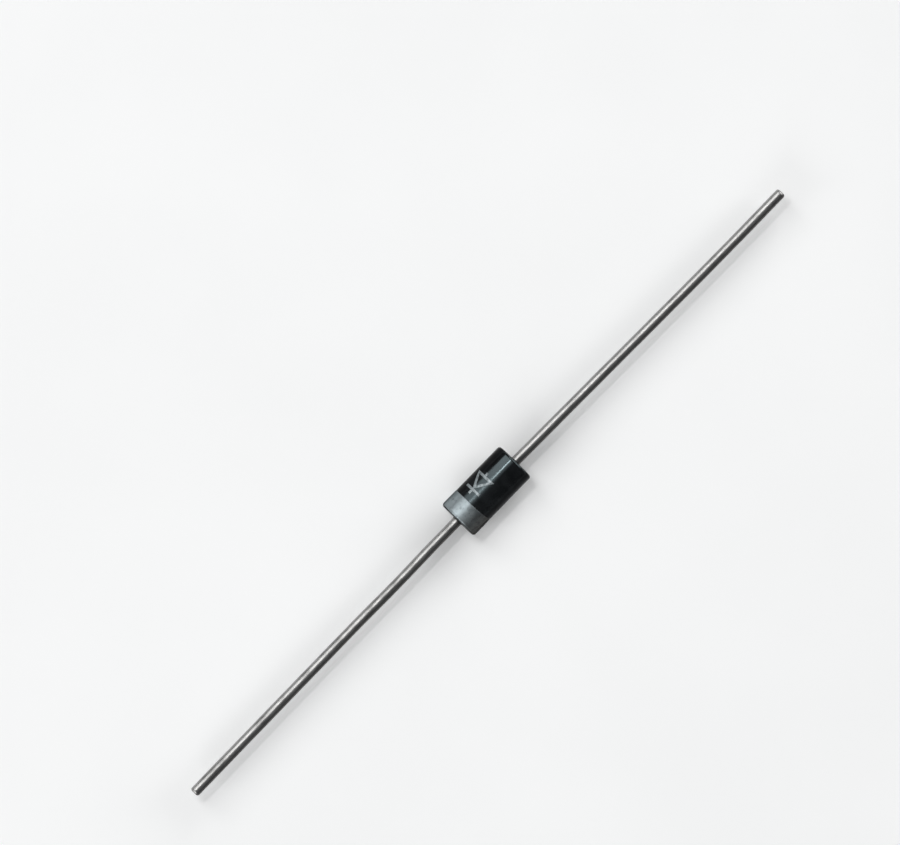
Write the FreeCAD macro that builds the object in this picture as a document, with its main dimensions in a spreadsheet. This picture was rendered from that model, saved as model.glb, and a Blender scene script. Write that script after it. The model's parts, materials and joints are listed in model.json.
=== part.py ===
import FreeCAD, Part
import math
import os

import Sketcher

# Axial rectifier diode: a black moulded body with a silver band round its cathode end, and a
# tinned copper wire out of each end. Inside, the two wires end in nail heads that are soldered
# to a silicon die, and a bead of silicone rubber seals the die between the heads.
# All sizes are in millimetres. The origin is the middle of the moulded body on the wire axis.
# The cathode end points along -X, the anode end along +X, and +Z is up.

# Driving dimensions: name, value, and what it measures
DRIVING_SIZES = (
    ("body_length", "6.0", "moulded body, end face to end face"),
    ("body_diameter", "3.2", "moulded body, across"),
    ("end_rounding", "0.2", "moulded body, radius of its two end edges"),
    ("band_width", "1.3", "cathode band, along the body"),
    ("ink_thickness", "0.03", "cathode band, above the moulding"),
    ("wire_diameter", "0.75", "both leads, across the wire"),
    ("lead_length", "27.5", "both leads, from the end face to the tip"),
    ("tip_rounding", "0.12", "both leads, radius of the edge at the cut tip"),
    ("head_diameter", "1.8", "nail head, across"),
    ("head_thickness", "0.35", "nail head, along the wire"),
    ("rim_rounding", "0.08", "nail head, radius of its rim"),
    ("neck_size", "0.15", "nail head, cone where the wire meets its back"),
    ("collar_diameter", "1.25", "anchor collar, across"),
    ("collar_crest", "0.2", "anchor collar, width of its crest"),
    ("collar_setback", "0.7", "anchor collar, from the back of the nail head"),
    ("anode_exit_run", "0.2", "anode lead, straight stretch past the end face"),
    ("exit_bend_radius", "60", "anode lead, bend beside the body"),
    ("bow_slope", "0.65", "anode lead, slope of its long run towards -Y, in degrees"),
    ("bow_radius", "490", "anode lead, wide bend back towards +Y"),
    ("tip_slope", "0.28", "anode lead, slope of its tip towards +Y, in degrees"),
    ("tip_run", "2.5", "anode lead, straight stretch at the tip"),
    ("cathode_exit_run", "2.0", "cathode lead, straight stretch past the end face"),
    ("kink_radius", "90", "cathode lead, each of the three bends of its slight kink"),
    ("kink_slope", "0.83", "cathode lead, slope of the kink's near side towards -Y, in degrees"),
    ("kink_run", "1.9", "cathode lead, straight stretch of the kink's near side"),
    ("return_slope", "0.70", "cathode lead, slope of the kink's far side towards +Y, in degrees"),
    ("return_run", "1.7", "cathode lead, straight stretch of the kink's far side"),
    ("far_slope", "0.27", "cathode lead, slope of its long run towards -Y, in degrees"),
    ("die_width", "1.27", "silicon die, each side"),
    ("die_thickness", "0.28", "silicon die, face to face"),
    ("mesa_bevel", "0.06", "silicon die, bevel round its anode face"),
    ("solder_thickness", "0.06", "each solder joint, along the axis"),
    ("solder_at_head", "1.3", "each solder joint, across where it meets the nail head"),
    ("solder_at_die", "1.1", "each solder joint, across where it meets the die"),
    ("coating_lap", "0.15", "coating, how far it laps over the rim of each head"),
    ("coating_film", "0.05", "coating, thickness at its two edges"),
    ("coating_bulge", "0.25", "coating, how far its middle stands above its edges"),
)

# Sizes worked out from the driving dimensions
DERIVED_SIZES = (
    ("half_stack", "=die_thickness / 2 + solder_thickness"),
    ("lead_reach", "=body_length / 2 + lead_length - half_stack"),
    ("anode_first_run", "=body_length / 2 - half_stack + anode_exit_run"),
    ("cathode_first_run", "=body_length / 2 - half_stack + cathode_exit_run"),
    ("wire_radius", "=wire_diameter / 2"),
    ("head_radius", "=head_diameter / 2"),
    ("neck_radius", "=wire_radius + neck_size"),
    ("neck_end", "=head_thickness + neck_size"),
    ("collar_radius", "=collar_diameter / 2"),
    ("collar_start", "=head_thickness + collar_setback"),
    ("crest_start", "=collar_start + collar_radius - wire_radius"),
    ("crest_end", "=crest_start + collar_crest"),
    ("collar_end", "=crest_end + collar_radius - wire_radius"),
    ("coating_end", "=half_stack + coating_lap"),
    ("coating_edge", "=head_radius + coating_film"),
    ("coating_arc_radius", "=(coating_end ^ 2 + coating_bulge ^ 2) / (2 * coating_bulge)"),
    ("band_diameter", "=body_diameter + 2 * ink_thickness"),
    ("band_start", "=end_rounding - body_length / 2"),
)

ORIGIN = FreeCAD.Vector(0, 0, 0)
ALONG_Z = FreeCAD.Vector(0, 0, 1)
FULL_TURN = 360
QUARTER_TURN = math.pi / 2
CLOSE = 1e-6


# The table of sizes
def build_sheet(doc):
    """One row for each size, with the size's name as the alias of its value."""
    sheet = doc.addObject("Spreadsheet::Sheet", "sizes")
    rows = DRIVING_SIZES + tuple((name, value, "") for name, value in DERIVED_SIZES)
    for row, (name, value, meaning) in enumerate(rows, start=1):
        sheet.set(f"A{row}", name)
        sheet.set(f"B{row}", value)
        sheet.set(f"C{row}", meaning)
        sheet.setAlias(f"B{row}", name)
    doc.recompute()


def size(item, name):
    """The value of a size, for a first placing that the sketch's dimensions then hold."""
    return getattr(item.Document.sizes, name)


# Sketches and the features that use them
def new_sketch(body, name, plane):
    """An empty sketch on one of the body's own origin planes."""
    sketch = body.newObject("Sketcher::SketchObject", name)
    feature = next(item for item in body.Origin.OriginFeatures if item.Role == plane)
    sketch.AttachmentSupport = [(feature, "")]
    sketch.MapMode = "FlatFace"
    return sketch


def constrain(sketch, *terms):
    """A geometric constraint, such as a tangency."""
    return sketch.addConstraint(Sketcher.Constraint(*terms))


def dimension(sketch, name, size_name, *terms, start=None):
    """A named dimension that follows a size. start is its first value, where that isn't the
    size's own number, as for an angle."""
    value = size(sketch, size_name) if start is None else start
    sketch.renameConstraint(constrain(sketch, *terms, value), name)
    sketch.setExpression(f"Constraints.{name}", f"sizes.{size_name}")


def edges_where(shape, wanted):
    """The names of the edges that a fillet or a chamfer works on."""
    return [f"Edge{i}" for i, edge in enumerate(shape.Edges, start=1) if wanted(edge)]


def is_circle(edge, diameter):
    """Whether the edge is a full circle of that diameter."""
    return edge.isClosed() and abs(edge.Length - math.pi * diameter) < CLOSE


def add_circle(sketch, size_name):
    """A circle round the sketch's origin, with a size as its diameter."""
    circle = sketch.addGeometry(Part.Circle(ORIGIN, ALONG_Z, size(sketch, size_name) / 2))
    constrain(sketch, "Coincident", circle, 3, -1, 1)
    dimension(sketch, size_name, size_name, "Diameter", circle)


def close_outline(sketch, count):
    """Joins the first count edges of the sketch end to end."""
    for i in range(count):
        constrain(sketch, "Coincident", i, 2, (i + 1) % count, 1)


def section_outline(body, name, corners):
    """Half of a turned form's section, to be revolved about X. Each corner names the size along
    the axis and the size away from it, or None where that distance is zero."""
    sketch = new_sketch(body, name, "XZ_Plane")
    points = [
        FreeCAD.Vector(size(body, along) if along else 0, size(body, away) if away else 0, 0)
        for along, away in corners
    ]
    for i, point in enumerate(points):
        sketch.addGeometry(Part.LineSegment(point, points[(i + 1) % len(points)]))
    close_outline(sketch, len(points))
    for i, (along, away) in enumerate(corners):
        if along:
            dimension(sketch, f"along_{i}", along, "DistanceX", -1, 1, i, 1)
        else:
            constrain(sketch, "PointOnObject", i, 1, -2)
        if away:
            dimension(sketch, f"away_{i}", away, "DistanceY", -1, 1, i, 1)
        else:
            constrain(sketch, "PointOnObject", i, 1, -1)
    return sketch


def revolve(body, name, sketch):
    """A full turn of the sketch about the X axis."""
    turned = body.newObject("PartDesign::Revolution", name)
    turned.Profile = sketch
    turned.ReferenceAxis = (sketch, ["H_Axis"])
    turned.Angle = FULL_TURN
    return turned


def pad(body, name, sketch, length, both_ways=False):
    """The sketch pushed out along X by a size, or half of it each way."""
    padded = body.newObject("PartDesign::Pad", name)
    padded.Profile = sketch
    padded.Midplane = both_ways
    padded.setExpression("Length", f"sizes.{length}")
    body.Document.recompute()
    return padded


def dress(body, kind, name, feature, wanted, property_name, size_name):
    """A fillet or a chamfer on the wanted edges of a feature."""
    dressed = body.newObject(f"PartDesign::{kind}", name)
    dressed.Base = (feature, edges_where(feature.Shape, wanted))
    dressed.setExpression(property_name, f"sizes.{size_name}")
    body.Document.recompute()
    return dressed


# Centre lines of the two leads. Each bend gives the sizes of its radius and of the slope that
# the wire then has, the side that it slopes to in the lead's own frame, 1 for +Y and -1 for -Y,
# and the size of the straight run that follows, or None where the run takes what is left.
ANODE_BENDS = (
    ("exit_bend_radius", "bow_slope", -1, None),
    ("bow_radius", "tip_slope", 1, "tip_run"),
)
CATHODE_BENDS = (
    ("kink_radius", "kink_slope", 1, "kink_run"),
    ("kink_radius", "return_slope", -1, "return_run"),
    ("kink_radius", "far_slope", 1, None),
)


def along(angle):
    """The direction at that angle from X, in the XY plane."""
    return FreeCAD.Vector(math.cos(angle), math.sin(angle), 0)


def run_angles(lead, bends):
    """The angle of each straight run from X, which is zero for the first."""
    return [0] + [side * math.radians(size(lead, slope)) for _, slope, side, _ in bends]


def signed_radii(lead, bends, angles):
    """Each bend's radius, which is negative where the wire turns towards -Y."""
    turns = [after - before for before, after in zip(angles, angles[1:])]
    return [math.copysign(size(lead, bend[0]), turn) for bend, turn in zip(bends, turns)]


def run_lengths(lead, first_run, bends, angles, radii):
    """The length of each straight run. The free one gets what the rest leaves of the reach."""
    lengths = [size(lead, first_run)] + [size(lead, run) if run else 0 for *_, run in bends]
    free = lengths.index(0)
    reach = sum(length * math.cos(angle) for length, angle in zip(lengths, angles))
    for radius, before, after in zip(radii, angles, angles[1:]):
        reach += radius * (math.sin(after) - math.sin(before))
    lengths[free] = (size(lead, "lead_reach") - reach) / math.cos(angles[free])
    return lengths


def bent_line(lead, first_run, bends):
    """The centre line of a lead, from the solder face of its head to its tip: a straight run
    along X, then an arc and a straight run for each bend, each tangent to the next."""
    angles = run_angles(lead, bends)
    radii = signed_radii(lead, bends, angles)
    lengths = run_lengths(lead, first_run, bends, angles, radii)

    sketch = new_sketch(lead, "centre_line", "XY_Plane")
    point = along(0) * lengths[0]
    run = sketch.addGeometry(Part.LineSegment(ORIGIN, point))
    constrain(sketch, "Coincident", run, 1, -1, 1)
    constrain(sketch, "Horizontal", run)
    dimension(sketch, first_run, first_run, "DistanceX", run, 1, run, 2)
    for i, (radius_size, slope_size, side, run_size) in enumerate(bends):
        before, after = angles[i : i + 2]
        centre = point + along(before + QUARTER_TURN) * radii[i]
        bend_end = centre - along(after + QUARTER_TURN) * radii[i]
        point = bend_end + along(after) * lengths[i + 1]
        to_wire = math.copysign(QUARTER_TURN, -radii[i])
        circle = Part.Circle(centre, ALONG_Z, abs(radii[i]))
        arc_angles = sorted((before + to_wire, after + to_wire))
        arc = sketch.addGeometry(Part.ArcOfCircle(circle, *arc_angles))
        near_end, far_end = (1, 2) if radii[i] > 0 else (2, 1)
        constrain(sketch, "Tangent", run, 2, arc, near_end)
        run = sketch.addGeometry(Part.LineSegment(bend_end, point))
        constrain(sketch, "Tangent", arc, far_end, run, 1)
        dimension(sketch, f"radius_{i}", radius_size, "Radius", arc)
        lines = (0, 2, run, 2) if side > 0 else (run, 2, 0, 2)
        dimension(sketch, slope_size, slope_size, "Angle", *lines, start=abs(after))
        if run_size:
            dimension(sketch, run_size, run_size, "Distance", run)
    dimension(sketch, "reach", "lead_reach", "DistanceX", -1, 1, run, 2)
    return sketch


# The leads
def build_lead(doc, label, first_run, bends):
    """A lead in its own frame: the solder face of its nail head is at the origin, and its wire
    runs along +X, with the anchor collar between the head and the body's end face."""
    lead = doc.addObject("PartDesign::Body", label)
    wire_section = new_sketch(lead, "wire_section", "YZ_Plane")
    add_circle(wire_section, "wire_diameter")
    path = bent_line(lead, first_run, bends)
    wire = lead.newObject("PartDesign::AdditivePipe", "wire")
    wire.Profile = wire_section
    wire.Spine = path

    head_corners = (
        (None, None),
        (None, "head_radius"),
        ("head_thickness", "head_radius"),
        ("head_thickness", "neck_radius"),
        ("neck_end", "wire_radius"),
        ("neck_end", None),
    )
    revolve(lead, "nail_head", section_outline(lead, "head_outline", head_corners))
    collar_corners = (
        ("collar_start", None),
        ("collar_start", "wire_radius"),
        ("crest_start", "collar_radius"),
        ("crest_end", "collar_radius"),
        ("collar_end", "wire_radius"),
        ("collar_end", None),
    )
    collar = revolve(lead, "anchor_collar", section_outline(lead, "collar_outline", collar_corners))
    doc.recompute()

    head_diameter = size(lead, "head_diameter")
    rim = dress(
        lead,
        "Fillet",
        "head_rim",
        collar,
        lambda edge: is_circle(edge, head_diameter),
        "Radius",
        "rim_rounding",
    )
    tip_x = max(edge.CenterOfMass.x for edge in rim.Shape.Edges)
    dress(
        lead,
        "Fillet",
        "tip_edge",
        rim,
        lambda edge: edge.CenterOfMass.x > tip_x - CLOSE,
        "Radius",
        "tip_rounding",
    )
    return lead


# The soldered stack between the leads
def build_die(doc):
    """The silicon die: a square chip across the axis, bevelled round its anode face."""
    die = doc.addObject("PartDesign::Body", "silicon_die")
    half_width = size(die, "die_width") / 2
    corners = [
        FreeCAD.Vector(y * half_width, z * half_width, 0)
        for y, z in ((-1, -1), (1, -1), (1, 1), (-1, 1))
    ]
    outline = new_sketch(die, "chip_outline", "YZ_Plane")
    for i, corner in enumerate(corners):
        outline.addGeometry(Part.LineSegment(corner, corners[(i + 1) % 4]))
    close_outline(outline, 4)
    for side in (0, 2):
        constrain(outline, "Horizontal", side)
        constrain(outline, "Vertical", side + 1)
    constrain(outline, "Equal", 0, 1)
    constrain(outline, "Symmetric", 0, 1, 2, 1, -1, 1)
    dimension(outline, "width", "die_width", "DistanceX", 0, 1, 0, 2)

    chip = pad(die, "chip", outline, "die_thickness", both_ways=True)
    anode_face = chip.Shape.BoundBox.XMax
    dress(
        die,
        "Chamfer",
        "mesa",
        chip,
        lambda edge: edge.BoundBox.XMin > anode_face - CLOSE,
        "Size",
        "mesa_bevel",
    )
    return die


def build_solder(doc, label, side):
    """One solder joint: a thin disc that narrows from the nail head to the die. side is 1 at the
    anode and -1 at the cathode."""
    solder = doc.addObject("Part::Cone", label)
    solder.setExpression("Radius1", "sizes.solder_at_head / 2")
    solder.setExpression("Radius2", "sizes.solder_at_die / 2")
    solder.setExpression("Height", "sizes.solder_thickness")
    solder.Placement.Rotation = FreeCAD.Rotation(FreeCAD.Vector(0, 1, 0), -90 * side)
    solder.setExpression("Placement.Base.x", f"{side} * sizes.half_stack")
    return solder


def build_coating_bead(doc):
    """The bead that the coating fills: a barrel round the die that laps over both heads' rims."""
    bead = doc.addObject("PartDesign::Body", "coating_bead")
    end = size(bead, "coating_end")
    edge = size(bead, "coating_edge")
    arc_radius = size(bead, "coating_arc_radius")
    arc_centre = edge + size(bead, "coating_bulge") - arc_radius
    rise = math.atan2(edge - arc_centre, end)
    arc_circle = Part.Circle(FreeCAD.Vector(0, arc_centre, 0), ALONG_Z, arc_radius)
    left = FreeCAD.Vector(-end, 0, 0)
    right = FreeCAD.Vector(end, 0, 0)
    up = FreeCAD.Vector(0, edge, 0)

    outline = new_sketch(bead, "bead_outline", "XZ_Plane")
    outline.addGeometry(Part.LineSegment(left, right))
    outline.addGeometry(Part.LineSegment(right, right + up))
    outline.addGeometry(Part.ArcOfCircle(arc_circle, rise, math.pi - rise))
    outline.addGeometry(Part.LineSegment(left + up, left))
    close_outline(outline, 4)
    constrain(outline, "Vertical", 1)
    constrain(outline, "Vertical", 3)
    constrain(outline, "PointOnObject", 0, 1, -1)
    constrain(outline, "Symmetric", 0, 1, 0, 2, -2)
    constrain(outline, "PointOnObject", 2, 3, -2)
    dimension(outline, "end", "coating_end", "DistanceX", -1, 1, 0, 2)
    dimension(outline, "edge", "coating_edge", "DistanceY", 1, 1, 1, 2)
    dimension(outline, "arc_radius", "coating_arc_radius", "Radius", 2)
    revolve(bead, "bead", outline)
    doc.recompute()
    return bead


# What is formed round other pieces
def form_round(doc, label, blank, enclosed):
    """The blank, less the space of the pieces that it encloses, which it touches all over."""
    insert = doc.addObject("Part::MultiFuse", f"inside_{label}")
    insert.Shapes = enclosed
    formed = doc.addObject("Part::Cut", label)
    formed.Base = blank
    formed.Tool = insert
    doc.recompute()
    return formed


def build_moulding_blank(doc):
    """The moulded body's outside: a cylinder with rounded ends."""
    blank = doc.addObject("PartDesign::Body", "moulding_blank")
    section = new_sketch(blank, "barrel_section", "YZ_Plane")
    add_circle(section, "body_diameter")
    barrel = pad(blank, "barrel", section, "body_length", both_ways=True)
    body_diameter = size(blank, "body_diameter")
    dress(
        blank,
        "Fillet",
        "end_edges",
        barrel,
        lambda edge: is_circle(edge, body_diameter),
        "Radius",
        "end_rounding",
    )
    return blank


def build_band(doc):
    """The cathode band: a ring of ink on the moulding, from where the end's rounding stops."""
    band = doc.addObject("PartDesign::Body", "cathode_band")
    section = new_sketch(band, "ring_section", "YZ_Plane")
    add_circle(section, "band_diameter")
    add_circle(section, "body_diameter")
    pad(band, "ring", section, "band_width")
    band.setExpression("Placement.Base.x", "sizes.band_start")
    return band


def build_diode(doc):
    """Every piece of the diode, in place."""
    build_sheet(doc)
    anode_lead = build_lead(doc, "anode_lead", "anode_first_run", ANODE_BENDS)
    anode_lead.setExpression("Placement.Base.x", "sizes.half_stack")
    cathode_lead = build_lead(doc, "cathode_lead", "cathode_first_run", CATHODE_BENDS)
    cathode_lead.Placement.Rotation = FreeCAD.Rotation(ALONG_Z, 180)
    cathode_lead.setExpression("Placement.Base.x", "-sizes.half_stack")
    leads = [anode_lead, cathode_lead]

    die = build_die(doc)
    solders = [build_solder(doc, "anode_solder", 1), build_solder(doc, "cathode_solder", -1)]
    bead = build_coating_bead(doc)
    coating = form_round(doc, "junction_coating", bead, leads + solders + [die])
    moulding = form_round(doc, "moulded_body", build_moulding_blank(doc), leads + [bead])
    band = build_band(doc)
    doc.recompute()
    return [moulding, band] + leads + solders + [die, coating]


# Checks and files
def check(doc, pieces):
    """Stops at an object that failed, and at a piece that isn't one valid solid."""
    for item in doc.Objects:
        if "Invalid" in item.State or "Error" in item.State:
            raise RuntimeError(f"{item.Label} failed: {item.State}")
    for piece in pieces:
        shape = piece.Shape
        if shape.isNull() or not shape.isValid() or len(shape.Solids) != 1:
            raise RuntimeError(f"{piece.Label} isn't one valid solid")


def write(pieces):
    """One file for each piece, named after it."""
    os.makedirs("parts", exist_ok=True)
    for piece in pieces:
        piece.Shape.exportStep(f"parts/{piece.Label}.step")
        box = piece.Shape.BoundBox
        print(f"{piece.Label}: {piece.Shape.Volume:.3f} mm3, x {box.XMin:.2f} to {box.XMax:.2f}")


document = FreeCAD.newDocument("axial_rectifier_diode")
diode_pieces = build_diode(document)
check(document, diode_pieces)
write(diode_pieces)
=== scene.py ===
# %% [markdown]
# A small rectifier diode lies on a pale table and is seen from almost straight above. It has a
# black moulded cylinder, a silver band printed round one end, a printed sign and two tinned wires.
# Its solid model is already there, as a fixed frame. This lesson gives that frame its surfaces and
# finishes. Everything is in metres, and X runs along the wires from the banded end to the other.

# %% Load the frame
import json
import math

import bpy
import numpy as np
from mathutils import Matrix, Vector


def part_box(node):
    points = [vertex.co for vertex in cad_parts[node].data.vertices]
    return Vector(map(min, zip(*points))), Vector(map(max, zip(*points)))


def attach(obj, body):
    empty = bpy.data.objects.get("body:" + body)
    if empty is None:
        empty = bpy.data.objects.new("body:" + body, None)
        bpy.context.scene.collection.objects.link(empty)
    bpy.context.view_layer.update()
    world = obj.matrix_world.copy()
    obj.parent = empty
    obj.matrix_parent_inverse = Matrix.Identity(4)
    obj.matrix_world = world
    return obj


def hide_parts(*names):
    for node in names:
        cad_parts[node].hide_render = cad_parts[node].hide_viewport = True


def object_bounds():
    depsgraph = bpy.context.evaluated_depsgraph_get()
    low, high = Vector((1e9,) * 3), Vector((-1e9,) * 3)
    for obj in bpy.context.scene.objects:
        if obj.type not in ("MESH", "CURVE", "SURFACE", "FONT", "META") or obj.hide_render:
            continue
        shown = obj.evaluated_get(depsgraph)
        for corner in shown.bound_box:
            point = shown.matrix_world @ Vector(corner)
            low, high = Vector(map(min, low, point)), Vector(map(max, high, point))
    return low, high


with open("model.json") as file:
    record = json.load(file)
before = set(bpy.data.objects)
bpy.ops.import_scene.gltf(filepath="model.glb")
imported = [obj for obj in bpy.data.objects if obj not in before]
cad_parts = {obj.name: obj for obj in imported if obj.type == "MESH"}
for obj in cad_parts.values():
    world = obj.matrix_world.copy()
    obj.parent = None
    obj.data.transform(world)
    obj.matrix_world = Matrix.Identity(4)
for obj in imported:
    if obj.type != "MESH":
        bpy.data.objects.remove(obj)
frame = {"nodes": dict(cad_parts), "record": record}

MM = 0.001
cad_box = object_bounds()
print("frame, mm:", [[round(value / MM, 3) for value in corner] for corner in cad_box])

# %% [markdown]
# The camera comes first, because everything is seen through it. A long lens from far away keeps
# the two wires the same width, as in the picture. The camera leans about one degree towards the
# banded end, so a sliver of that end's face shows. Its three axes are built from two angles, the
# lean and the slant of the diode in the picture, and not by aiming, because aiming would leave the
# slant free.

# %% Camera
PICTURE_WIDTH = 900
PICTURE_HEIGHT = 845
BODY_PIXEL = (486.45, 490.95)
PIXELS_PER_MM = 13.78
SLANT = math.radians(45.735)
LEAN = math.radians(1.2)
CAMERA_DISTANCE = 1.5
SENSOR_WIDTH = 0.036

along_picture = Vector((math.cos(LEAN), 0, math.sin(LEAN)))
across_picture = Vector((0, 1, 0))
towards_camera = Vector((-math.sin(LEAN), 0, math.cos(LEAN)))
right = math.cos(SLANT) * along_picture - math.sin(SLANT) * across_picture
up = math.sin(SLANT) * along_picture + math.cos(SLANT) * across_picture

pixel = MM / PIXELS_PER_MM
aim = right * (PICTURE_WIDTH / 2 - BODY_PIXEL[0]) * pixel
aim += up * (BODY_PIXEL[1] - PICTURE_HEIGHT / 2) * pixel

camera_data = bpy.data.cameras.new("camera")
camera_data.sensor_width = SENSOR_WIDTH / MM
camera_data.lens = SENSOR_WIDTH * CAMERA_DISTANCE / (PICTURE_WIDTH * pixel) / MM
camera = bpy.data.objects.new("camera", camera_data)
bpy.context.scene.collection.objects.link(camera)
turn = Matrix((right, up, towards_camera)).transposed().to_4x4()
camera.matrix_world = Matrix.Translation(aim + towards_camera * CAMERA_DISTANCE) @ turn
bpy.context.scene.camera = camera
bpy.context.scene.view_settings.view_transform = "Standard"
print("lens, mm:", round(camera_data.lens, 1))

# %% [markdown]
# The table is a plain pale sheet just under the body. Three lamps stand on the far side, parallel
# to the diode, and a cylinder mirrors each of them as a stripe: a soft box low down as a broad grey
# one, a narrow strip above it as a thin bright line, and a faint glow nearly overhead as a soft
# edge to that line. Two fills stand low beyond the ends of the wires. A cylinder that lies in line
# with them can't mirror them towards the camera, so they only light the table and keep the shadows
# pale. The near side mirrors a dim room and stays black. A lamp's strength is given here as the
# brightness of its face, so that its size and place can change without its brightness changing.

# %% Table, room and lamps
FLOOR_DROP = 0.01 * MM
FLOOR_REACH = 4.0
LAMP_DISTANCE = 0.9
LAMP_LENGTH = 0.32
STRIP_LENGTH = 0.24
ROOM_COLOUR = (0.97, 1.0, 1.03, 1)
ROOM_STRENGTH = 0.06


def aimed_lamp(name, towards, length, width, brightness):
    """A flat rectangular lamp that stands at LAMP_DISTANCE in a direction and faces the origin.

    Its length runs level, and its width is at right angles to that. A face of brightness B and
    area A sends out pi A B watts."""
    data = bpy.data.lights.new(name, "AREA")
    data.shape = "RECTANGLE"
    data.size = length
    data.size_y = width
    data.energy = brightness * math.pi * length * width
    away = Vector(towards).normalized()
    level = Vector((0, 0, 1)).cross(away).normalized()
    lamp = bpy.data.objects.new(name, data)
    bpy.context.scene.collection.objects.link(lamp)
    place = Matrix.Translation(away * LAMP_DISTANCE)
    lamp.matrix_world = place @ Matrix((level, away.cross(level), away)).transposed().to_4x4()
    print(name, "gives", round(data.energy, 2), "watts")


def off_vertical(angle, around=90):
    """The direction at an angle from straight up, leaning towards an angle round from +X."""
    tilt, way = math.radians(angle), math.radians(around)
    return (math.sin(tilt) * math.cos(way), math.sin(tilt) * math.sin(way), math.cos(tilt))


def width_of(spread):
    """The width of a lamp that spans this many degrees as seen from the diode."""
    return 2 * LAMP_DISTANCE * math.tan(math.radians(spread) / 2)


aimed_lamp("soft_box", off_vertical(46), LAMP_LENGTH, width=width_of(36), brightness=3.3)
aimed_lamp("near_strip", off_vertical(22.5), STRIP_LENGTH, width=width_of(5), brightness=22.0)
aimed_lamp("soft_glow", off_vertical(12), LAMP_LENGTH, width=width_of(13), brightness=1.1)
for name, around in (("fill_right", 0), ("fill_left", 180)):
    aimed_lamp(
        name,
        off_vertical(62, around),
        length=width_of(66),
        width=width_of(28),
        brightness=3.9,
    )

floor_height = cad_box[0].z - FLOOR_DROP
corners = FLOOR_REACH * np.array([(-1, -1, 0), (1, -1, 0), (1, 1, 0), (-1, 1, 0)])
corners[:, 2] = floor_height
floor_mesh = bpy.data.meshes.new("floor")
floor_mesh.from_pydata(corners.tolist(), [], [(0, 1, 2, 3)])
floor = bpy.data.objects.new("floor", floor_mesh)
bpy.context.scene.collection.objects.link(floor)

world = bpy.data.worlds.new("room")
bpy.context.scene.world = world
world.use_nodes = True
room_light = world.node_tree.nodes["Background"].inputs
room_light["Color"].default_value = ROOM_COLOUR
room_light["Strength"].default_value = ROOM_STRENGTH

# %% [markdown]
# Every new surface here is a grid of points in space, worked out as whole arrays. A row of the
# grid is a ring round the axis, or round a stroke of ink, and the rings follow each other along
# the piece. One function turns such a grid into a mesh. It winds each face the same way, so that
# all normals point outwards when the rings go round from +Y to +Z while the rows go towards +X.

# %% From a grid of points to a mesh
SHARP_ANGLE = math.radians(32)


def mesh_from_rings(name, rings, closed_loop=False):
    """Make an object from points rings[row, column].

    Each row closes on itself. The rows either close into a loop as well, or each end is capped
    with a fan round the mean point of its last ring."""
    rows, columns = rings.shape[:2]
    here = np.arange(rows * columns).reshape(rows, columns)
    beyond = np.roll(here, -1, axis=0)
    if not closed_loop:
        here, beyond = here[:-1], beyond[:-1]
    quads = np.stack(
        [here, np.roll(here, -1, axis=1), np.roll(beyond, -1, axis=1), beyond], axis=-1
    ).reshape(-1, 4)
    points = rings.reshape(-1, 3)
    faces = quads.tolist()
    if not closed_loop:
        poles = np.stack([rings[0].mean(axis=0), rings[-1].mean(axis=0)])
        first_pole = len(points)
        points = np.concatenate([points, poles])
        start, end = np.arange(columns), np.arange(columns) + (rows - 1) * columns
        first_fan = np.stack([np.full(columns, first_pole), np.roll(start, -1), start], axis=-1)
        last_fan = np.stack([np.full(columns, first_pole + 1), end, np.roll(end, -1)], axis=-1)
        faces += first_fan.tolist() + last_fan.tolist()
    mesh = bpy.data.meshes.new(name)
    mesh.from_pydata(points.tolist(), [], faces)
    mesh.update()
    mesh.shade_smooth()
    mesh.set_sharp_from_angle(angle=SHARP_ANGLE)
    piece = bpy.data.objects.new(name, mesh)
    bpy.context.scene.collection.objects.link(piece)
    print(name, "has", len(mesh.polygons), "faces")
    return piece


def finish_piece(piece, material, slot, *nodes):
    """Give a piece its material, hang it on the diode, and hide what it stands for. The slot is not
    used.
    """
    piece.data.materials.append(material)
    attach(piece, "root")
    if nodes:
        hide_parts(*nodes)


# %% [markdown]
# A finish is a small graph of shader nodes. Building one by hand takes a call for each node and
# each link, so these helpers do both in one line: an input is given either a value or another
# node's output.

# %% Helpers for finishes


def fill_socket(tree, socket, value):
    """Give an input a value, or link another node's output to it."""
    if isinstance(value, bpy.types.NodeSocket):
        tree.links.new(value, socket)
    else:
        socket.default_value = value


def add_node(tree, kind, inputs=None, **settings):
    """Add a node, set its settings, and fill its inputs, given by name or number."""
    node = tree.nodes.new(kind)
    for name, value in settings.items():
        setattr(node, name, value)
    for name, value in (inputs or {}).items():
        fill_socket(tree, node.inputs[name], value)
    return node


def calculated(tree, operation, *values):
    """The result of a Math node."""
    return add_node(tree, "ShaderNodeMath", dict(enumerate(values)), operation=operation).outputs[0]


def mixed_colour(tree, factor, first, second):
    """A colour that goes from the first to the second as the factor goes from 0 to 1."""
    mix = add_node(tree, "ShaderNodeMix", {0: factor, 6: first, 7: second}, data_type="RGBA")
    return mix.outputs[2]


def spread_between(tree, value, low, high, to_low=0.0, to_high=1.0):
    """Map low..high of a value smoothly onto to_low..to_high, clamped at both ends."""
    return add_node(
        tree,
        "ShaderNodeMapRange",
        {"Value": value, "From Min": low, "From Max": high, "To Min": to_low, "To Max": to_high},
        interpolation_type="SMOOTHSTEP",
    ).outputs["Result"]


def place_in_mm(tree):
    """The place on the object in millimetres."""
    place = add_node(tree, "ShaderNodeTexCoord").outputs["Object"]
    return add_node(
        tree, "ShaderNodeVectorMath", {0: place, "Scale": 1 / MM}, operation="SCALE"
    ).outputs["Vector"]


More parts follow.
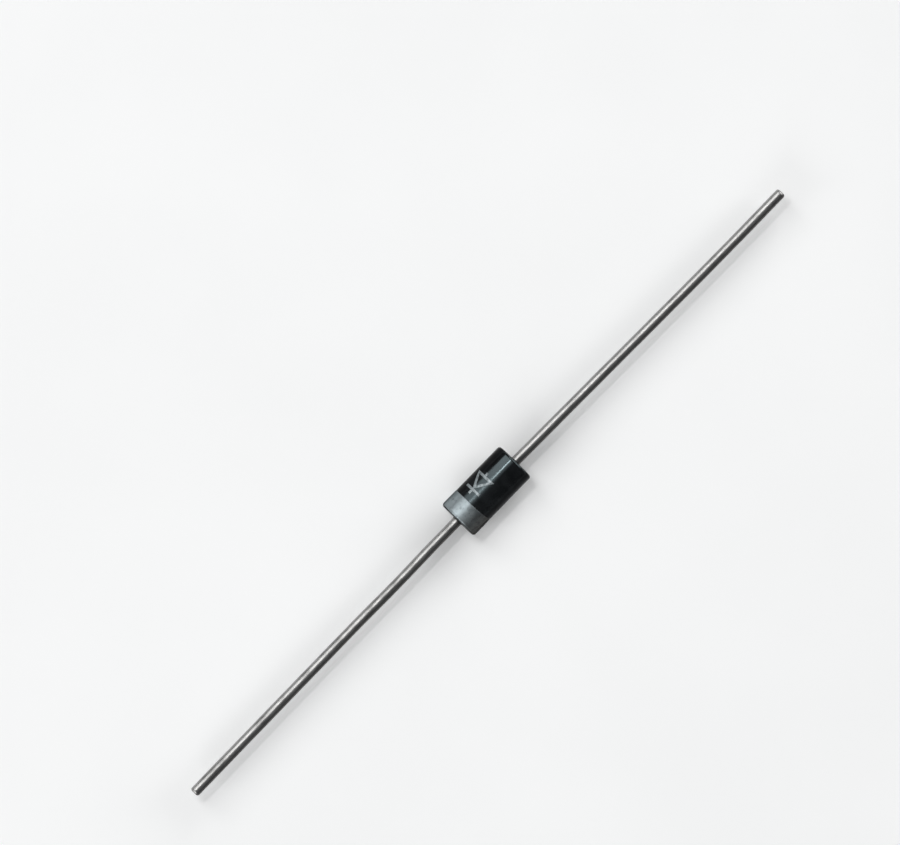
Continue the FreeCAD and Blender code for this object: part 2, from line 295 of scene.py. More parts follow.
def new_finish(name, **constants):
    """A material with one Principled shader, whose plain values are set on its own sockets."""
    material = bpy.data.materials.new(name)
    material.use_nodes = True
    shader = material.node_tree.nodes["Principled BSDF"]
    for socket, value in constants.items():
        shader.inputs[socket.replace("_", " ")].default_value = value
    print("finish:", name)
    return material, material.node_tree, shader


# %% [markdown]
# Two effects come back in almost every finish here: a soft mottle, which changes a colour or a
# gloss from place to place, and a fine grain, which tilts the surface a little. Each is a node
# group, a graph with named inputs that is built once and then placed in each material with values
# of its own. Both start from noise on the place in millimetres. A stretch below 1 along an axis
# draws the pattern out that way.

# %% Mottle and grain
NOISE_INPUTS = {
    "Stretch": ("Vector", (1, 1, 1)),
    "Grains per mm": ("Float", 4.0),
    "Detail": ("Float", 3.0),
    "Raggedness": ("Float", 0.5),
}
MOTTLE_INPUTS = {"Bias": ("Float", 0.0), "Low": ("Float", 0.3), "High": ("Float", 0.7)}
GRAIN_INPUTS = {"Depth in mm": ("Float", 0.004)}


def new_group(name, inputs, output, output_kind):
    """A node group with the named inputs and one output, and the sockets at its two ends."""
    group = bpy.data.node_groups.new(name, "ShaderNodeTree")
    sides = group.interface
    for socket, (kind, value) in inputs.items():
        made = sides.new_socket(socket, in_out="INPUT", socket_type="NodeSocket" + kind)
        made.default_value = value
    sides.new_socket(output, in_out="OUTPUT", socket_type="NodeSocket" + output_kind)
    given = group.nodes.new("NodeGroupInput").outputs
    result = group.nodes.new("NodeGroupOutput").inputs[output]
    print("node group:", name)
    return group, given, result


def noise_from(group, given):
    """Noise from 0 to 1 on the place in millimetres, as the group's inputs ask."""
    stretched = add_node(
        group,
        "ShaderNodeVectorMath",
        {0: place_in_mm(group), 1: given["Stretch"]},
        operation="MULTIPLY",
    ).outputs["Vector"]
    pattern = {"Vector": stretched, "Scale": given["Grains per mm"]}
    pattern.update({"Detail": given["Detail"], "Roughness": given["Raggedness"]})
    return add_node(group, "ShaderNodeTexNoise", pattern).outputs["Fac"]


mottle, given, result = new_group("mottle", {**NOISE_INPUTS, **MOTTLE_INPUTS}, "Mask", "Float")
level = calculated(mottle, "ADD", noise_from(mottle, given), given["Bias"])
mottle.links.new(spread_between(mottle, level, given["Low"], given["High"]), result)

grain, given, result = new_group("grain", {**NOISE_INPUTS, **GRAIN_INPUTS}, "Normal", "Vector")
depth = calculated(grain, "MULTIPLY", given["Depth in mm"], MM)
tilted = add_node(grain, "ShaderNodeBump", {"Height": noise_from(grain, given), "Distance": depth})
grain.links.new(tilted.outputs["Normal"], result)


def placed(tree, group, **values):
    """Place a group in a material with values of its own, and give its one output."""
    node = add_node(tree, "ShaderNodeGroup", node_tree=group)
    for name, value in values.items():
        fill_socket(tree, node.inputs[name.replace("_", " ")], value)
    return node.outputs[0]


def grained(tree, shader, **values):
    """Tilt a shader's surface with the grain group."""
    tree.links.new(placed(tree, grain, **values), shader.inputs["Normal"])


# %% [markdown]
# The moulding compound is black epoxy with fine silica in it. From the polished part of the mould
# it has a satin gloss, glossier towards the end without the band, which sharpens the thin bright
# line there. Near the mould's parting plane, on both flanks, the compound comes out duller: like
# any fine-grained surface it still mirrors light when it is seen head-on, but hardly at a glance.
# So its gloss is the larger of two masks, one for the place and one for the angle of view.

# %% Black epoxy
BLACK_DEEP = (0.0040, 0.0042, 0.0046, 1)
BLACK_GREY = (0.0085, 0.0090, 0.0098, 1)
GLOSS_TINT = (0.75, 0.94, 1.0, 1)
FULL_GLOSS = 0.5
FLANK_GLOSS = 0.02
UNEVENNESS = 0.03

epoxy, tree, shader = new_finish("black_epoxy", IOR=1.5, Specular_Tint=GLOSS_TINT)
patches = placed(tree, mottle, Grains_per_mm=1.3)
tree.links.new(mixed_colour(tree, patches, BLACK_DEEP, BLACK_GREY), shader.inputs["Base Color"])
place = add_node(tree, "ShaderNodeSeparateXYZ", {"Vector": place_in_mm(tree)}).outputs
satin = spread_between(tree, place["X"], low=-0.5, high=2.6, to_low=0.27, to_high=0.15)
uneven = placed(tree, mottle, Grains_per_mm=1.2)
uneven = calculated(tree, "MULTIPLY_ADD", uneven, UNEVENNESS, -UNEVENNESS / 2)
tree.links.new(calculated(tree, "ADD", satin, uneven), shader.inputs["Roughness"])
off_plane = calculated(tree, "ABSOLUTE", place["Z"])
polished = spread_between(
    tree, off_plane, low=1.0, high=1.42, to_low=FLANK_GLOSS, to_high=FULL_GLOSS
)
glance = add_node(tree, "ShaderNodeLayerWeight", {"Blend": 0.5}).outputs["Facing"]
head_on = spread_between(
    tree, glance, low=0.10, high=0.35, to_low=FULL_GLOSS, to_high=FLANK_GLOSS
)
gloss = calculated(tree, "MAXIMUM", polished, head_on)
tree.links.new(gloss, shader.inputs["Specular IOR Level"])
grained(tree, shader, Grains_per_mm=15.0, Raggedness=0.6, Depth_in_mm=0.0004)

# %% [markdown]
# The tin on the wires is bright and slightly rough. The wire was drawn through a die, which left
# fine lines along it, and the plating bath left soft dull patches. The lines are grain that is
# drawn out along X: they scatter light across the wire and leave it sharp along it. The side below
# and towards -Y, away from the lamps, is painted darker, as painted shade. A wire bends too much
# for its place to tell that side from the other, so its mesh says it, in an attribute of its own.

# %% Tin plate
TIN_BRIGHT = (0.385, 0.383, 0.377, 1)
TIN_DULL = (0.20, 0.198, 0.194, 1)
# Painted shade: the colour of each wire's side away from the lamps.
TIN_PAINTED_SHADE = (0.115, 0.114, 0.111, 1)
METAL_EDGE = (0.5, 0.5, 0.5, 1)
FLECK_CONTRAST = 0.06
DRAWN_OUT = (0.012, 1, 1)


def tin_finish(name, dullness, patchiness, line_depth):
    """Tin plate with drawing lines. A higher dullness and patchiness make it look older."""
    material, tree, shader = new_finish(name, Metallic=1.0, Specular_Tint=METAL_EDGE)
    stain = placed(
        tree, mottle, Stretch=(0.6, 1, 1), Grains_per_mm=1.6, Detail=4.0, Low=0.42, High=0.75
    )
    stain = calculated(tree, "MULTIPLY", stain, patchiness)
    plating = mixed_colour(tree, stain, TIN_BRIGHT, TIN_DULL)
    # Painted shade: the side of each wire away from the lamps takes the darker colour.
    away_from_lamps = add_node(tree, "ShaderNodeAttribute", attribute_name="away_from_lamps").outputs["Fac"]
    painted_shade = spread_between(tree, away_from_lamps, low=-0.22, high=0.25)
    colour = mixed_colour(tree, painted_shade, plating, TIN_PAINTED_SHADE)
    tree.links.new(colour, shader.inputs["Base Color"])
    fleck = placed(tree, mottle, Stretch=(0.5, 1, 1), Grains_per_mm=7.0)
    rough = calculated(tree, "MULTIPLY_ADD", fleck, FLECK_CONTRAST, dullness)
    tree.links.new(rough, shader.inputs["Roughness"])
    grained(tree, shader, Stretch=DRAWN_OUT, Grains_per_mm=13.0, Detail=1.5, Depth_in_mm=line_depth)
    return material


cathode_tin = tin_finish("cathode_tin", dullness=0.37, patchiness=0.85, line_depth=0.0022)
anode_tin = tin_finish("anode_tin", dullness=0.36, patchiness=0.45, line_depth=0.0015)

# %% [markdown]
# The ink is silver paint: metal flakes in a clear binder. It is laid on by a soft printing wheel,
# so in places it is too sparse to hide the black moulding, which shows through. The band's colour
# is painted darker towards -Y, the side away from the lamps, and a little towards both flanks:
# painted shade. The sign's ink is about as thick all over, and a little worn.

# %% Silver ink
INK_EDGE = (0.0, 0.0, 0.0, 1)
METAL_SHARE = 0.95
FULL_SHADE = 0.70
# How much the cloud darkens the painted-shade colour.
SHADED_SIDE_CLOUD = 0.60
CLOUD_CONTRAST = 0.08


def shade_of(colour, share):
    """A colour with red, green and blue multiplied by a share."""
    return tuple(share * part for part in colour[:3]) + (1,)


def ink_finish(name, silver, shaded_silver, worn, lost_on_shaded_side, roughness):
    """Silver ink, painted darker towards -Y and a little near the parting plane, as shade.

    Its colour goes from silver, on the lit side, to shaded_silver, the painted shade. Its cover is
    a mottle, which is lowered by worn everywhere and by up to lost_on_shaded_side towards -Y."""
    material, tree, shader = new_finish(name, Specular_Tint=INK_EDGE)
    place = add_node(tree, "ShaderNodeSeparateXYZ", {"Vector": place_in_mm(tree)}).outputs
    # Painted shade: towards -Y, away from the lamps, and towards both flanks the colour darkens and
    # less silver covers the black.
    by_side = spread_between(tree, place["Y"], low=-1.5, high=0.4)
    off_plane = calculated(tree, "ABSOLUTE", place["Z"])
    by_seam = spread_between(tree, off_plane, low=0.4, high=1.2, to_low=0.6, to_high=1.0)
    lit_share = calculated(tree, "MULTIPLY", by_side, by_seam)
    lost = calculated(tree, "MULTIPLY_ADD", by_side, lost_on_shaded_side, -lost_on_shaded_side - worn)
    cover = placed(
        tree, mottle, Grains_per_mm=3.6, Detail=5.0, Raggedness=0.62, Bias=lost, Low=0.05, High=0.52
    )
    cloud = placed(tree, mottle, Stretch=(0.5, 1, 1), Grains_per_mm=1.5)
    full = mixed_colour(tree, cloud, shade_of(silver, FULL_SHADE), silver)
    shaded_paint = mixed_colour(tree, cloud, shade_of(shaded_silver, SHADED_SIDE_CLOUD), shaded_silver)
    paint = mixed_colour(tree, lit_share, shaded_paint, full)
    tree.links.new(mixed_colour(tree, cover, BLACK_GREY, paint), shader.inputs["Base Color"])
    metal = calculated(tree, "MULTIPLY", cover, METAL_SHARE)
    tree.links.new(metal, shader.inputs["Metallic"])
    dull = calculated(tree, "MULTIPLY_ADD", cloud, CLOUD_CONTRAST, roughness)
    tree.links.new(dull, shader.inputs["Roughness"])
    grained(tree, shader, Grains_per_mm=18.0, Detail=2.0, Depth_in_mm=0.004)
    return material


BAND_SILVER = (0.40, 0.457, 0.48, 1)
# The band's painted shade: its colour on the side away from the lamps.
BAND_PAINTED_SHADE = (0.108, 0.108, 0.104, 1)
MARK_SILVER = (0.44, 0.49, 0.51, 1)

band_silver = ink_finish(
    "band_silver", BAND_SILVER, BAND_PAINTED_SHADE, worn=0.0, lost_on_shaded_side=0.11, roughness=0.43
)
mark_silver = ink_finish(
    "mark_silver", MARK_SILVER, MARK_SILVER, worn=0.13, lost_on_shaded_side=0.0, roughness=0.42
)

# %% [markdown]
# The moulding is a body of revolution, closed round the wires, so its section is one closed loop:
# the outer wall, an end face, the bore with its collar groove, the hollow round the chip, and back
# along the other bore. Half of the loop is listed from the middle outwards, and the other half is
# its mirror image. The places come from the frame where it states them.

# %% Section of the moulding
body_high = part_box("moulded_body")[1]
wire_radius = frame["record"]["mounts"][0]["dims"]["r_mm"] * MM
body_end = body_high.x
body_radius = body_high.z

END_ROUNDING = 0.20 * MM
SOLDER_FACE = 0.20 * MM
HEAD_THICKNESS = 0.35 * MM
HEAD_RADIUS = 0.90 * MM
RIM_ROUNDING = 0.08 * MM
NECK_SIZE = 0.15 * MM
COLLAR_RADIUS = 0.625 * MM
COLLAR_START = 1.05 * MM
COLLAR_CREST = 0.20 * MM
COATING_END = 0.35 * MM
COATING_EDGE = 0.95 * MM
COATING_BULGE = 0.25 * MM

collar_slope = COLLAR_RADIUS - wire_radius


def rounded(centre, radius, first, last, count=9):
    """Points of an arc in the plane of (x, r), from one angle to another, in degrees."""
    angle = np.radians(np.linspace(first, last, count))
    return np.stack([centre[0] + radius * np.cos(angle), centre[1] + radius * np.sin(angle)], -1)


def run(*corners, step=0.12 * MM):
    """Points along straight lines from corner to corner, no more than a step apart."""
    corners = np.array(corners)
    parts = []
    for begin, end in zip(corners[:-1], corners[1:]):
        count = max(1, math.ceil(np.linalg.norm(end - begin) / step))
        parts.append(begin + (end - begin) * np.arange(count)[:, None] / count)
    return np.concatenate(parts + [corners[-1:]])


def body_outline(x):
    """Radius of the outer wall at each x: constant, then a quarter circle at both ends."""
    into_end = np.clip(np.abs(x) - (body_end - END_ROUNDING), 0, END_ROUNDING)
    return body_radius - END_ROUNDING + np.sqrt(END_ROUNDING**2 - into_end**2)


head_back = SOLDER_FACE + HEAD_THICKNESS
collar_foot = SOLDER_FACE + COLLAR_START
crest_start = collar_foot + collar_slope
crest_end = crest_start + COLLAR_CREST
collar_end = crest_end + collar_slope
barrel_radius = (COATING_END**2 + COATING_BULGE**2) / (2 * COATING_BULGE)
barrel_centre = (0, COATING_EDGE + COATING_BULGE - barrel_radius)
barrel_angle = math.degrees(math.asin(COATING_END / barrel_radius))

outer_half = np.concatenate([
    run((0, body_radius), (body_end - END_ROUNDING, body_radius)),
    rounded((body_end - END_ROUNDING, body_radius - END_ROUNDING), END_ROUNDING, 90, 0, 13)[1:],
])
inner_half = np.concatenate([
    run((body_end, body_radius - END_ROUNDING), (body_end, wire_radius), step=0.08 * MM)[1:],
    run((body_end, wire_radius), (collar_end, wire_radius), (crest_end, COLLAR_RADIUS),
        (crest_start, COLLAR_RADIUS), (collar_foot, wire_radius),
        (head_back + NECK_SIZE, wire_radius), (head_back, wire_radius + NECK_SIZE),
        (head_back, HEAD_RADIUS - RIM_ROUNDING), step=0.3 * MM)[1:],
    rounded((head_back - RIM_ROUNDING, HEAD_RADIUS - RIM_ROUNDING), RIM_ROUNDING, 0, 90, 5)[1:],
    run((head_back - RIM_ROUNDING, HEAD_RADIUS), (COATING_END, HEAD_RADIUS),
        (COATING_END, COATING_EDGE))[1:],
    rounded(barrel_centre, barrel_radius, 90 - barrel_angle, 90, 9)[1:],
])
half = np.concatenate([outer_half, inner_half])
mirrored = half[::-1] * (-1, 1)
section = np.concatenate([half, mirrored[1:-1]])
print("points in the section:", len(section))

# %% [markdown]
# The mould opens along the plane of the wires, and leaves a very low seam along both sides of the
# body and, half as high, across its end faces. A little resin also creeps out round each wire as a
# thin ring. The seam is a narrow bump in the radius near the angles 0 and 180 degrees, so the
# columns of the grid are packed closely there.

# %% The moulded body
SEAM_HEIGHT = 0.010 * MM
SEAM_WIDTH = 0.035 * MM
BODY_COLUMNS = 224
COLLAR_OF_RESIN = 0.05 * MM
RESIN_SPREAD = 0.06 * MM
FACE_SEAM_SHARE = 0.5
HAIR = 1e-9

even = np.linspace(0, 2 * np.pi, BODY_COLUMNS, endpoint=False)
close_by = np.linspace(-3, 3, 13) * SEAM_WIDTH / body_radius
packed = np.concatenate([even, close_by, np.pi + close_by]) % (2 * np.pi)
body_angles = np.unique(np.round(packed, 5))


def seam(angle, radius):
    """Height of the seam: a bell curve of the distance from the mould's parting plane."""
    distance = np.abs(radius * np.sin(angle))
    return SEAM_HEIGHT * np.exp(-((distance / SEAM_WIDTH) ** 2))


def ring_points(x, radius, angle):
    """Carry (x, r) round the X axis: (x, r cos a, r sin a)."""
    x, radius, angle = np.broadcast_arrays(x, radius, angle)
    return np.stack([x, radius * np.cos(angle), radius * np.sin(angle)], axis=-1)


section_x, section_r = section[:, :1], section[:, 1:]
on_face = np.abs(section_x) >= body_end - HAIR
outer_wall = (section_r > COATING_EDGE + COATING_BULGE) | on_face
bump = seam(body_angles[None, :], section_r) * outer_wall
towards_end = np.sign(section_x) * on_face
creep = COLLAR_OF_RESIN * np.exp(-(((section_r - wire_radius) / RESIN_SPREAD) ** 2)) * on_face
body_x = section_x + towards_end * (FACE_SEAM_SHARE * bump + creep)
body_rings = ring_points(body_x, section_r + bump * ~on_face, body_angles[None, :])
body_piece = mesh_from_rings("moulded_shape", body_rings, closed_loop=True)
finish_piece(body_piece, epoxy, "epoxy_moulding", "moulded_body")

# %% [markdown]
# Each wire is one long turned form on a gently bent centre line: the nail head that is soldered to
# the chip, the collar that anchors it in the moulding, and the bare wire with its rounded tip. The
# centre line has straight runs joined by wide arcs, so its heading is a straight-line function of
# the distance along it. Its place is the running sum of the heading.

# %% Centre lines of the wires
LEAD_REACH = 30.3 * MM
LINE_STEP = 0.01 * MM
ANODE_FIRST_RUN = 3.0 * MM
ANODE_BENDS = ((60 * MM, -0.65, None), (490 * MM, 0.28, 2.5 * MM))
CATHODE_FIRST_RUN = 4.8 * MM
CATHODE_BENDS = ((90 * MM, 0.83, 1.9 * MM), (90 * MM, -0.70, 1.7 * MM), (90 * MM, 0.27, None))


def wire_line(first_run, bends):
    """Distances along a wire, with its place and its heading at each.

    A bend is (radius, heading after it in degrees, straight run after it). The heading changes
    evenly along an arc, whose length is the radius times the turn. The run given as None takes
    what is left of the reach."""
    headings, runs, arcs = [0.0], [first_run], []
    for radius, heading, straight in bends:
        arcs.append(radius * abs(math.radians(heading) - headings[-1]))
        headings.append(math.radians(heading))
        runs.append(straight)
    free = runs.index(None)
    runs[free] = LEAD_REACH - sum(arcs) - sum(length for length in runs if length)
    lengths = [part for pair in zip(runs, arcs + [0]) for part in pair][:-1]
    knots = np.concatenate([[0], np.cumsum(lengths)])
    values = np.repeat(headings, 2)
    distance = np.linspace(0, knots[-1], round(knots[-1] / LINE_STEP) + 1)
    heading = np.interp(distance, knots, values)
    steps = np.diff(distance) * np.exp(1j * (heading[1:] + heading[:-1]) / 2)
    place = np.concatenate([[0], np.cumsum(steps)])
    return distance, place, heading


# %% [markdown]
# The profile gives the wire's radius at each distance from the head. Real wire isn't perfectly
# round or even, so the radius wavers by a few thousandths of a millimetre.

# %% The two wires
WIRE_COLUMNS = 72
WIRE_STEP = 0.10 * MM
TIP_ROUNDING = 0.19 * MM
POLE_RING = 0.02 * MM
WAVER = 0.004 * MM
WAVER_START = 0.3 * MM
WAVER_EASE = 1.0 * MM
LONG_WAVE = 2.1 * MM
SHORT_WAVE = 0.83 * MM
# A direction in (y, z) away from the lamps; the tin finish paints that side darker, as shade.
AWAY_FROM_LAMPS = (-0.87, -0.50)


def lead_profile():
    """Distance and radius pairs of a lead, from the middle of its head to its tip."""
    body_of_wire = LEAD_REACH - TIP_ROUNDING
    head = run((0, POLE_RING), (0, HEAD_RADIUS - RIM_ROUNDING), step=0.15 * MM)[:-1]
    front_rim = rounded((RIM_ROUNDING, HEAD_RADIUS - RIM_ROUNDING), RIM_ROUNDING, 180, 90, 5)
    back_rim = rounded(
        (HEAD_THICKNESS - RIM_ROUNDING, HEAD_RADIUS - RIM_ROUNDING), RIM_ROUNDING, 90, 0, 5
    )
    collar = run(
        (HEAD_THICKNESS, wire_radius + NECK_SIZE), (HEAD_THICKNESS + NECK_SIZE, wire_radius),
        (COLLAR_START, wire_radius), (COLLAR_START + collar_slope, COLLAR_RADIUS),
        (COLLAR_START + collar_slope + COLLAR_CREST, COLLAR_RADIUS),
        (COLLAR_START + 2 * collar_slope + COLLAR_CREST, wire_radius), step=0.2 * MM
    )[:-1]
    after_collar = COLLAR_START + 2 * collar_slope + COLLAR_CREST
    bare = run((after_collar, wire_radius), (body_of_wire, wire_radius), step=WIRE_STEP)[:-1]
    tip = rounded((body_of_wire, wire_radius - TIP_ROUNDING), TIP_ROUNDING, 90, 0, 9)
    face = run(
        (LEAD_REACH, wire_radius - TIP_ROUNDING), (LEAD_REACH, POLE_RING), step=0.06 * MM
    )[1:]
    return np.concatenate([head, front_rim, back_rim, collar, bare, tip, face])


def build_wire(name, first_run, bends, side, phase):
    """Sweep the lead's profile along its centre line.

    A ring's points are the place on the line, plus r cos a along the line's left and r sin a
    straight up. side is 1 for the wire towards +X, and -1 for the one towards -X, which is the
    same form turned half round about Z. The attribute away_from_lamps is the cosine of the angle
    between the surface's normal and the direction AWAY_FROM_LAMPS in (y, z), which points away from
    the lamps: the tin finish paints that side darker, as painted shade. The normal is (side cos a,
    sin a) there, times the share of the profile's slope that runs along the wire."""
    distance, place, heading = wire_line(first_run, bends)
    profile = lead_profile()
    along, radius = profile[:, :1], profile[:, 1:]
    angle = np.linspace(0, 2 * np.pi, WIRE_COLUMNS, endpoint=False)[None, :]
    loose = np.clip((along - (body_end - SOLDER_FACE) - WAVER_START) / WAVER_EASE, 0, 1)
    wave = np.sin(along / LONG_WAVE + phase + angle) + np.sin(along / SHORT_WAVE - 2 * angle)
    radius = radius * (1 + loose * WAVER / wire_radius * 0.5 * wave)
    turn_here = np.interp(along[:, 0], distance, heading)
    centre = np.interp(along[:, 0], distance, place.real) + 1j * np.interp(
        along[:, 0], distance, place.imag
    )
    flat = (centre + 0j)[:, None] + radius * np.cos(angle) * 1j * np.exp(1j * turn_here)[:, None]
    flat = side * (flat + SOLDER_FACE)
    height = radius * np.sin(angle)
    rings = np.stack([flat.real, flat.imag, height], axis=-1)
    wire = mesh_from_rings(name, rings)
    slope = np.gradient(profile, axis=0)
    sideways = np.abs(slope[:, :1]) / np.linalg.norm(slope, axis=1, keepdims=True)
    # How far the normal points away from the lamps, for the tin's painted shade.
    facing = sideways * (side * np.cos(angle) * AWAY_FROM_LAMPS[0] + np.sin(angle) * AWAY_FROM_LAMPS[1])
    facing = np.concatenate([facing.ravel(), [0.0, 0.0]])
    wire.data.attributes.new("away_from_lamps", "FLOAT", "POINT").data.foreach_set("value", facing)
    return wire


cathode_wire = build_wire("cathode_wire", CATHODE_FIRST_RUN, CATHODE_BENDS, side=-1, phase=0.7)
finish_piece(cathode_wire, cathode_tin, "tinned_copper", "cathode_lead")
anode_wire = build_wire("anode_wire", ANODE_FIRST_RUN, ANODE_BENDS, side=1, phase=2.9)
finish_piece(anode_wire, anode_tin, "tinned_copper", "anode_lead")

# %% [markdown]
# The band is a film of ink that follows the body's wall, from the rounded end edge to a slightly
# wandering inner edge, which reaches a little further along the body on the side towards -Y. The
# film is thickest in the middle and thins out to its edges. Its section is a closed loop again:
# out over the top, and back along the moulding.

# %% The cathode band
band_low, band_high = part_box("cathode_band")
INK_THICKNESS = band_high.z - body_radius
BAND_CREEP = 0.12 * MM
BAND_COLUMNS = 256
BAND_ROWS = 40
EDGE_WANDER = 0.022 * MM
MINUS_Y_REACH = 0.16 * MM
EDGE_POWER = 0.25
FLAT_TOP = 1.02
JUST_INSIDE = 0.999
BAND_SUNK = 0.003 * MM


def wander(angle, seed):
    """A small closed wave round the axis, made of a few sines, that stays within -1 and 1."""
    rng = np.random.default_rng(seed)
    counts = np.array([2, 3, 5, 8, 13, 21, 34])
    weights = np.array([1.0, 0.9, 0.8, 0.6, 0.5, 0.4, 0.3])
    phases = rng.uniform(0, 2 * np.pi, len(counts))
    waves = weights * np.sin(counts * np.asarray(angle)[..., None] + phases)
    return waves.sum(axis=-1) / weights.sum()


band_angles = np.linspace(0, 2 * np.pi, BAND_COLUMNS, endpoint=False)
# The side towards -Y, where the band's colour is painted darker as shade.
towards_minus_y = np.clip(-np.cos(band_angles), 0, 1) ** 2
outer_edge = band_low.x - BAND_CREEP + EDGE_WANDER * wander(band_angles, seed=3)
inner_edge = band_high.x + EDGE_WANDER * wander(band_angles, seed=8) + MINUS_Y_REACH * towards_minus_y
share = 0.5 - 0.5 * np.cos(np.linspace(0, np.pi, BAND_ROWS))[:, None]
band_x = outer_edge + share * (inner_edge - outer_edge)
film = INK_THICKNESS * np.minimum(1, (4 * share * (1 - share)) ** EDGE_POWER * FLAT_TOP)
top_of_band = ring_points(band_x, body_outline(band_x) + film * JUST_INSIDE, band_angles[None, :])
under_band = ring_points(band_x, body_outline(band_x) - BAND_SUNK, band_angles[None, :])
band_rings = np.concatenate([top_of_band, under_band[::-1]])
band_piece = mesh_from_rings("band_ink", band_rings, closed_loop=True)
finish_piece(band_piece, band_silver, "silver_ink", "cathode_band")

# %% [markdown]
# Beside the band a plain diode sign is printed: a triangle that points at the band, a bar at its
# tip and a short line at each end. It is drawn on the wall rolled out flat, with x along the body
# and w round it from the top towards +Y, and then rolled up. Each stroke is a flat film carried
# along a path whose corners are mitred, so that its edges stay parallel.

# %% The printed sign
STROKE_WIDTH = 0.20 * MM
MARK_HEIGHT = 0.012 * MM
MARK_CENTRE = math.radians(31) * body_radius
MARK_HALF_HEIGHT = 0.72 * MM
MARK_ROWS = 28
TRIANGLE_BASE = 0.62 * MM
TRIANGLE_TIP = -0.44 * MM
BAR_GAP = 0.20 * MM
LINE_GAP = 0.11 * MM
LINE_END_IN = 0.98 * MM
LINE_END_OUT = -1.02 * MM
RAGGED_DEPTH = 0.006 * MM
RAGGED_AROUND = 0.05 * MM
RAGGED_ALONG = 0.07 * MM
RAGGED_BEND = 3
MARK_PROUD = np.array([0, 0.55, 0.9, 1, 1, 1, 0.9, 0.55, 0, -0.4, -0.4])
MARK_ACROSS = np.array([-1, -0.98, -0.9, -0.6, 0, 0.6, 0.9, 0.98, 1, 0.6, -0.6]) / 2


def stroke(name, corners, closed):
    """Carry the film's section along a path of corners (x, w) on the rolled-out wall.

    At a corner the section lies along the mitre, which is the sum of the two sides' normals
    divided by 1 plus their scalar product. A point (x, w) rolls up to the angle w / R from the
    top, at the radius of the wall plus the film's height there. Rolling up mirrors the section,
    so its columns are taken backwards to keep the faces outwards."""
    corners = np.array(corners)
    ahead = np.roll(corners, -1, axis=0) - corners
    ahead = ahead / np.linalg.norm(ahead, axis=1, keepdims=True)
    if not closed:
        ahead[-1] = ahead[-2]
    behind = np.roll(ahead, 1, axis=0)
    if not closed:
        behind[0] = ahead[0]
    left_ahead = np.stack([-ahead[:, 1], ahead[:, 0]], axis=-1)
    left_behind = np.stack([-behind[:, 1], behind[:, 0]], axis=-1)
    mitre = left_ahead + left_behind
    mitre /= 1 + (left_ahead * left_behind).sum(axis=1, keepdims=True)
    last = len(corners) if closed else len(corners) - 1
    step = np.arange(last * MARK_ROWS + (0 if closed else 1)) / MARK_ROWS
    whole = np.append(np.arange(len(corners)), 0) if closed else np.arange(len(corners))
    knots = np.arange(len(whole))
    path = np.stack([np.interp(step, knots, corners[whole, axis]) for axis in (0, 1)], axis=-1)
    lean = np.stack([np.interp(step, knots, mitre[whole, axis]) for axis in (0, 1)], axis=-1)
    flat = path[:, None] + STROKE_WIDTH * MARK_ACROSS[None, :, None] * lean[:, None]
    bend = RAGGED_BEND * np.sin(flat[..., 0] / RAGGED_ALONG)
    ragged = RAGGED_DEPTH * np.sin(flat[..., 1] / RAGGED_AROUND + bend)
    angle = np.pi / 2 - (flat[..., 1] + ragged) / body_radius
    radius = body_radius + MARK_HEIGHT * MARK_PROUD[None, :]
    film = ring_points(flat[..., 0], radius, angle)
    return mesh_from_rings(name, film[:, ::-1], closed_loop=closed)


bar_place = TRIANGLE_TIP - BAR_GAP
low, high = MARK_CENTRE - MARK_HALF_HEIGHT, MARK_CENTRE + MARK_HALF_HEIGHT
triangle = [(TRIANGLE_BASE, low), (TRIANGLE_TIP, MARK_CENTRE), (TRIANGLE_BASE, high)]
bar = [(bar_place, low), (bar_place, high)]
line_in = [(LINE_END_IN, MARK_CENTRE), (TRIANGLE_BASE + LINE_GAP, MARK_CENTRE)]
line_out = [(bar_place - LINE_GAP, MARK_CENTRE), (LINE_END_OUT, MARK_CENTRE)]
strokes = [
    ("mark_triangle", triangle, True),
    ("mark_bar", bar, False),
    ("mark_line_in", line_in, False),
    ("mark_line_out", line_out, False),
]
for name, path_corners, closed in strokes:
    finish_piece(stroke(name, path_corners, closed), mark_silver, "silver_ink")

# %% [markdown]
# Inside, out of sight, are the chip, its two solder joints and the rubber bead that seals it. Their
# solids stay as they are and only get finishes, so that the diode is also right when it is cut
# open in a drawing.

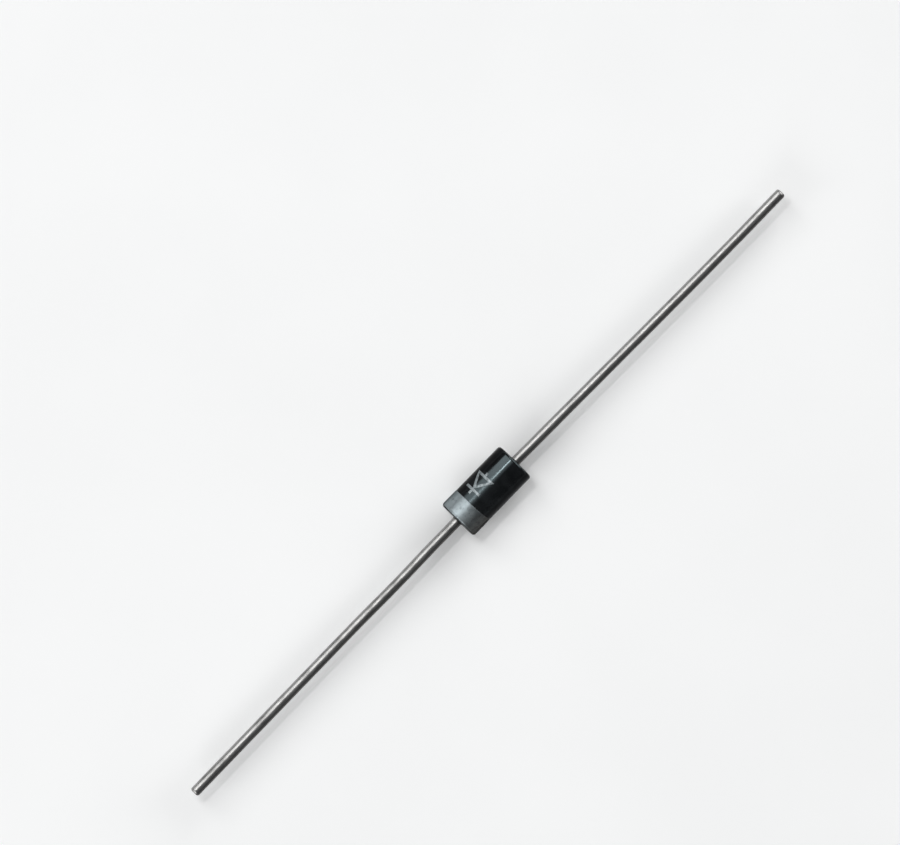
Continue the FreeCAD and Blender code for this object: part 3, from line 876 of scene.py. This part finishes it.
# %% Finishes of the hidden pieces
SOLDER_DARK = (0.36, 0.36, 0.38, 1)
SOLDER_LIGHT = (0.47, 0.47, 0.49, 1)
SILICON_DARK = (0.08, 0.09, 0.11, 1)
SILICON_LIGHT = (0.11, 0.12, 0.14, 1)
RUBBER_DARK = (0.74, 0.74, 0.70, 1)
RUBBER_LIGHT = (0.81, 0.81, 0.77, 1)
HIDDEN_CONTRAST = 0.15


def plain_finish(name, first, second, per_mm, depth_mm, roughness, metallic=0.0):
    """A finish that goes between two colours with soft noise, and has a little grain."""
    material, tree, shader = new_finish(name, Metallic=metallic)
    cloud = placed(tree, mottle, Grains_per_mm=per_mm)
    tree.links.new(mixed_colour(tree, cloud, first, second), shader.inputs["Base Color"])
    rough = calculated(tree, "MULTIPLY_ADD", cloud, HIDDEN_CONTRAST, roughness)
    tree.links.new(rough, shader.inputs["Roughness"])
    grained(tree, shader, Grains_per_mm=per_mm, Depth_in_mm=depth_mm)
    return material


solder = plain_finish(
    "dull_solder", SOLDER_DARK, SOLDER_LIGHT, per_mm=9, depth_mm=0.004, roughness=0.38, metallic=1.0
)
chip = plain_finish(
    "chip_silicon", SILICON_DARK, SILICON_LIGHT, per_mm=6, depth_mm=0.0005, roughness=0.12
)
rubber = plain_finish(
    "white_rubber", RUBBER_DARK, RUBBER_LIGHT, per_mm=4, depth_mm=0.004, roughness=0.45
)
inner_finishes = {
    "anode_solder": solder,
    "cathode_solder": solder,
    "silicon_die": chip,
    "junction_coating": rubber,
}
for node, material in inner_finishes.items():
    solid = frame["nodes"][node]
    for material_slot in solid.material_slots:
        material_slot.material = material

# %% [markdown]
# The table is matte and nearly white, with the faintest unevenness, as of painted board.

# %% The table's finish
PALE_LOW = (0.93, 0.935, 0.935, 1)
PALE_HIGH = (0.95, 0.955, 0.955, 1)

pale, tree, shader = new_finish("pale_board", Roughness=0.85)
tone = placed(tree, mottle, Grains_per_mm=0.05)
tree.links.new(mixed_colour(tree, tone, PALE_LOW, PALE_HIGH), shader.inputs["Base Color"])
floor.data.materials.append(pale)
